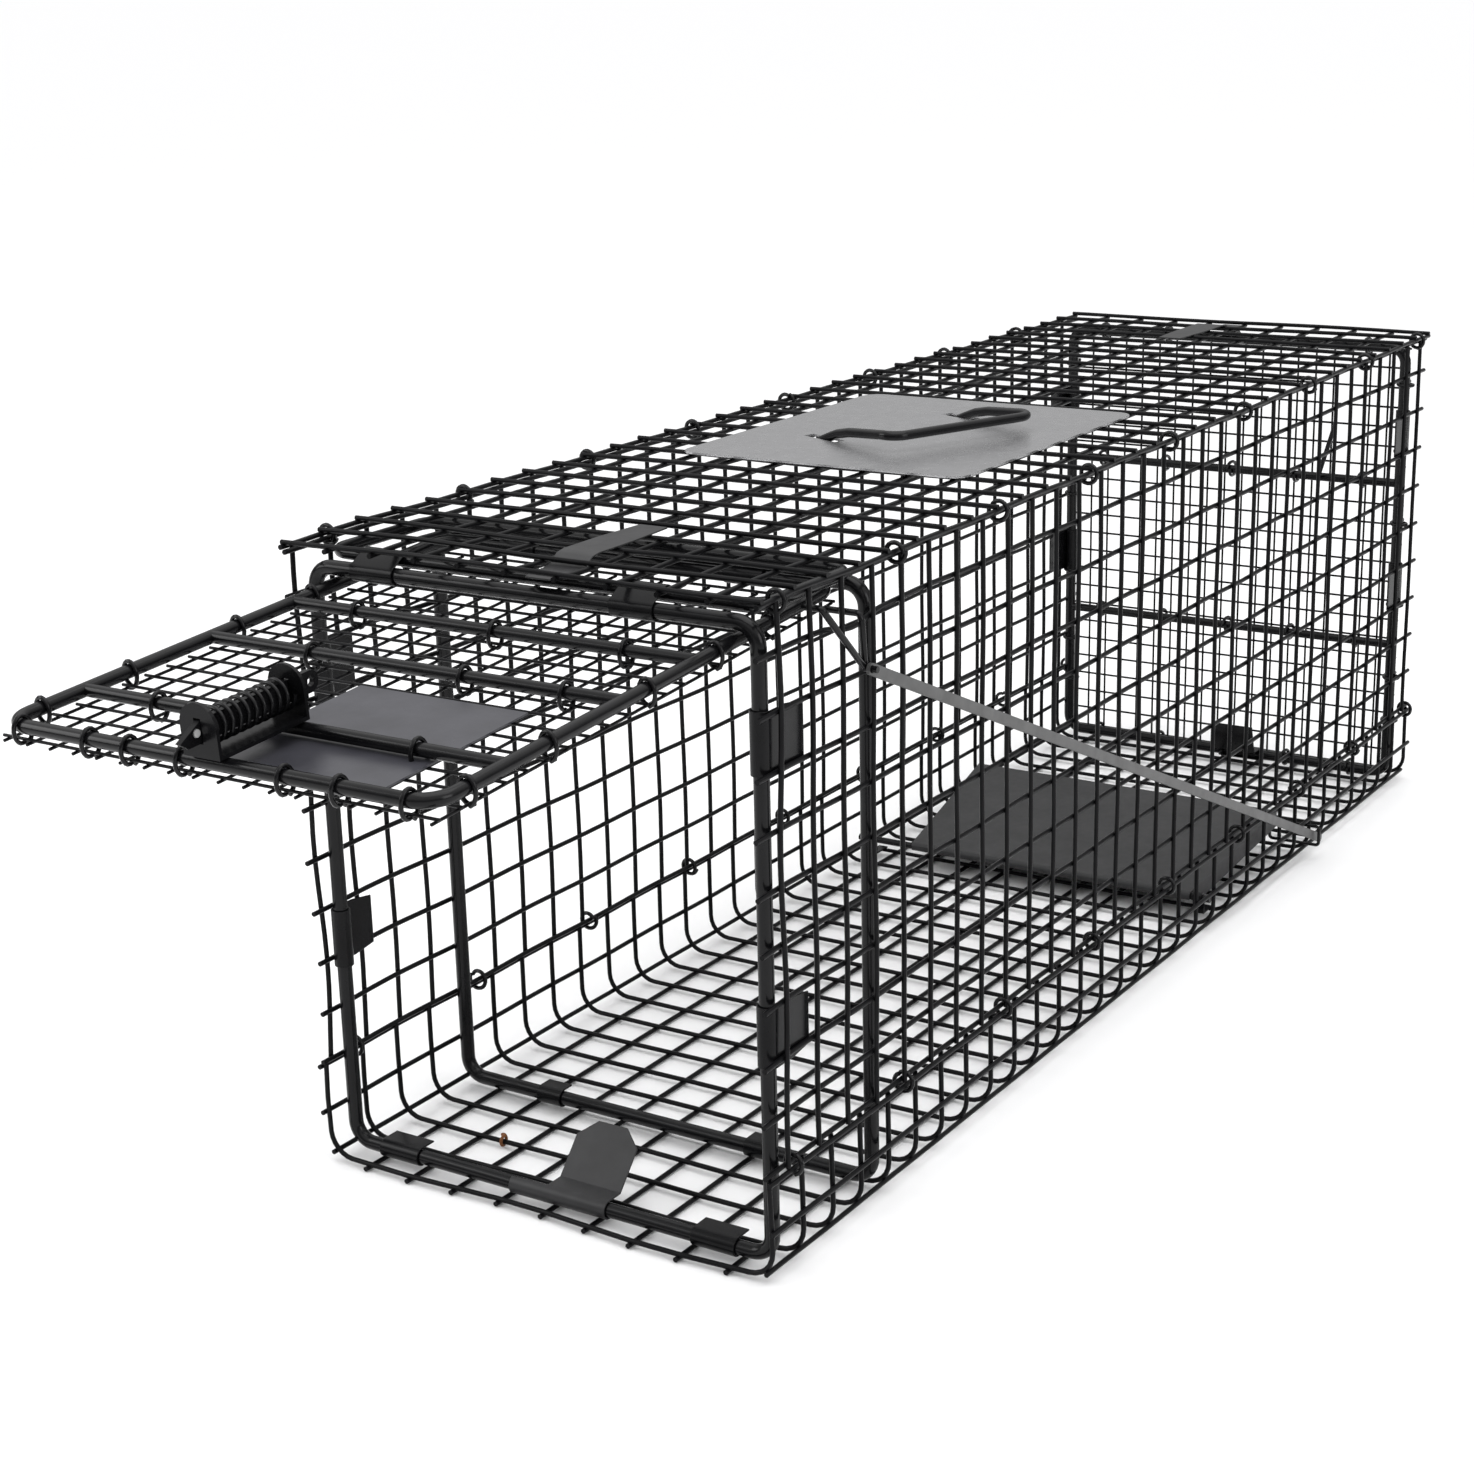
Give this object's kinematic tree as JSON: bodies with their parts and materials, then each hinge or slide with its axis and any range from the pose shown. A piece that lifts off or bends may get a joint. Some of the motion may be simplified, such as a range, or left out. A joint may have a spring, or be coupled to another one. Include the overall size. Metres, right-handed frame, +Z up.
{
  "type": "live catch trap",
  "caption": "Collapsible black welded-wire cage trap with a drop door held open, a treadle pan, a side trigger rod, a sprung door bolt and a carrying bail.",
  "frame": {"origin": "underside of the middle lengthwise floor wire, half way along the cage", "axes": "+X is the cage's right side as seen from the door end, -Y is the door end, +Z is up"},
  "size_m": [0.2662, 1.025, 0.3165],
  "materials": {
    "black_mesh_wire": "satin black coating",
    "black_rod": "glossy black coating",
    "black_sheet": "satin black coating",
    "charcoal_sheet": "satin charcoal coating",
    "handle_plate_sheet": "glossy dark coating that mirrors the sky",
    "bare_steel": "dull plain steel"
  },
  "bodies": {
    "cage": {"bottom_sleeve_left": "black_sheet", "bottom_sleeve_right": "black_sheet", "floor_tray_mesh": "black_mesh_wire", "front_clip_left_lower": "black_sheet", "front_clip_left_upper": "black_sheet", "front_clip_right_lower": "black_sheet", "front_clip_right_upper": "black_sheet", "front_frame": "black_rod", "front_top_latch": "charcoal_sheet", "handle_plate": "handle_plate_sheet", "inner_frame": "black_rod", "inner_sleeve_left": "black_sheet", "inner_sleeve_right": "black_sheet", "left_wall_mesh": "black_mesh_wire", "pan_pivot_clip_left": "black_sheet", "pan_pivot_clip_right": "black_sheet", "pan_pivot_rod": "black_rod", "rear_bottom_latch": "charcoal_sheet", "rear_clip_left_lower": "black_sheet", "rear_clip_left_upper": "black_sheet", "rear_clip_right_lower": "black_sheet", "rear_clip_right_upper": "black_sheet", "rear_frame": "black_rod", "rear_hook_rod": "black_rod", "rear_mesh": "black_mesh_wire", "rear_top_latch": "charcoal_sheet", "right_wall_mesh": "black_mesh_wire", "side_seam_ring_left_1": "black_mesh_wire", "side_seam_ring_left_2": "black_mesh_wire", "side_seam_ring_left_3": "black_mesh_wire", "side_seam_ring_right_1": "black_mesh_wire", "side_seam_ring_right_2": "black_mesh_wire", "side_seam_ring_right_3": "black_mesh_wire", "strike_plate": "charcoal_sheet", "top_front_frame": "black_rod", "top_mesh": "black_mesh_wire", "top_seam_ring_left_1": "black_mesh_wire", "top_seam_ring_left_2": "black_mesh_wire", "top_seam_ring_left_3": "black_mesh_wire", "top_seam_ring_right_1": "black_mesh_wire", "top_seam_ring_right_2": "black_mesh_wire", "top_seam_ring_right_3": "black_mesh_wire", "top_sleeve_left": "black_sheet", "top_sleeve_right": "black_sheet"},
    "door": {"door_frame": "black_rod", "door_mesh": "black_mesh_wire", "door_plate": "charcoal_sheet", "door_hinge_sleeve_left": "black_sheet", "door_hinge_sleeve_right": "black_sheet", "bolt_bracket": "black_sheet", "bolt_spring": "black_rod"},
    "door_bolt": {"latch_bolt": "black_sheet", "bolt_rivet": "bare_steel"},
    "treadle": {"treadle_pan": "charcoal_sheet", "pan_link_ring": "black_rod"},
    "hook": {"trigger_hook": "black_rod"},
    "trigger": {"trigger_rod": "bare_steel"},
    "handle": {"carry_handle": "black_rod"}
  },
  "joints": [
    {"name": "door_swing", "type": "hinge", "parent": "cage", "child": "door", "pos_m": [0, -0.30988, 0.289], "axis": [1, 0, 0], "range_deg": [0, 69]},
    {"name": "bolt_slide", "type": "slide", "parent": "door", "child": "door_bolt", "axis": [0, 0.9976, 0.0698], "range_m": [0, 0.012], "stiffness_N_per_m": 300, "springref_m": -0.01},
    {"name": "pan_tilt", "type": "hinge", "parent": "cage", "child": "treadle", "pos_m": [0, 0.08636, 0.015], "axis": [1, 0, 0], "range_deg": [-4, 0]},
    {"name": "hook_swing", "type": "hinge", "parent": "cage", "child": "hook", "pos_m": [0.129, -0.36322, 0.291], "axis": [1, 0, 0], "range_deg": [-4, 0]},
    {"name": "rod_swing", "type": "hinge", "parent": "hook", "child": "trigger", "pos_m": [0.132, -0.3302, 0.258], "axis": [1, 0, 0], "range_deg": [0, 3.5]},
    {"name": "handle_fold", "type": "hinge", "parent": "cage", "child": "handle", "pos_m": [-0.012, -0.0535, 0.3056], "axis": [-0.3746, -0.9272, 0], "range_deg": [0, 68]}
  ],
  "couplings": [
    {"joint": "hook_swing", "follows": "pan_tilt", "ratio": 1},
    {"joint": "rod_swing", "follows": "pan_tilt", "ratio": -0.872}
  ]
}
